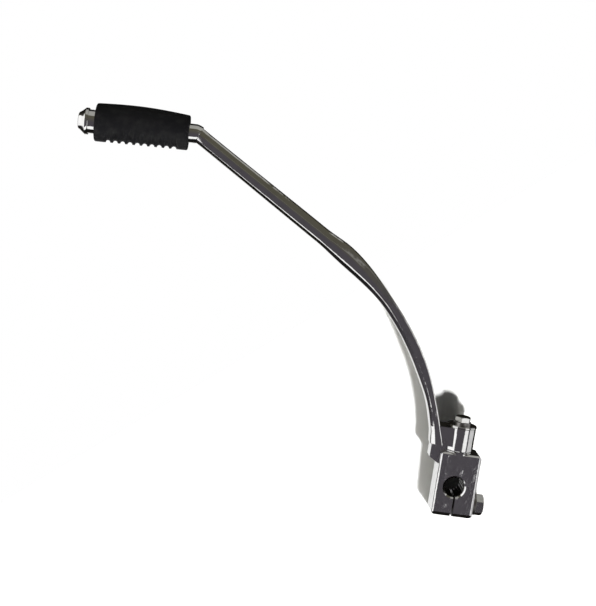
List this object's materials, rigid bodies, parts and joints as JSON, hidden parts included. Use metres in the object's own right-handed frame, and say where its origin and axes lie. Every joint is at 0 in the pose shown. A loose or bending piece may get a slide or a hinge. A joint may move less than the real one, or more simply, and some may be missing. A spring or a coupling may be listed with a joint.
{
  "type": "kick start lever",
  "caption": "Kick start lever with a splined clamp boss, an arm that folds on the boss's pivot spindle, and a ribbed rubber on its foot peg.",
  "frame": {"origin": "centre of the splined bore, half way through the boss", "axes": "+Y along the bore towards the engine side, so the outer face looks towards -Y; +Z along the folding axis, away from the boss; the folded arm lies in the XZ plane towards -X"},
  "size_m": [0.3011, 0.0244, 0.2406],
  "materials": {
    "chrome_plate": "bright plated over a forged steel surface",
    "zinc_plate": "zinc plated",
    "spring_steel": "dark oiled spring steel",
    "bearing_steel": "polished",
    "black_rubber": "moulded, satin"
  },
  "bodies": {
    "boss": {"clamp_boss": "chrome_plate", "pinch_bolt": "zinc_plate", "pinch_lock_washer": "spring_steel", "pivot_bolt": "zinc_plate", "pivot_lock_washer": "spring_steel", "pivot_washer": "zinc_plate", "detent_spring": "spring_steel"},
    "arm": {"kick_arm": "chrome_plate", "peg_rubber": "black_rubber"},
    "ball": {"detent_ball": "bearing_steel"}
  },
  "joints": [
    {"name": "arm_fold", "type": "hinge", "parent": "boss", "child": "arm", "pos_m": [0, 0, 0.032], "axis": [0, 0, 1], "range_deg": [0, 90]},
    {"name": "ball_travel", "type": "slide", "parent": "boss", "child": "ball", "axis": [1, 0, 0], "range_m": [0, 0.0006], "stiffness_N_per_m": 1500, "deforming": ["detent_spring"]}
  ]
}
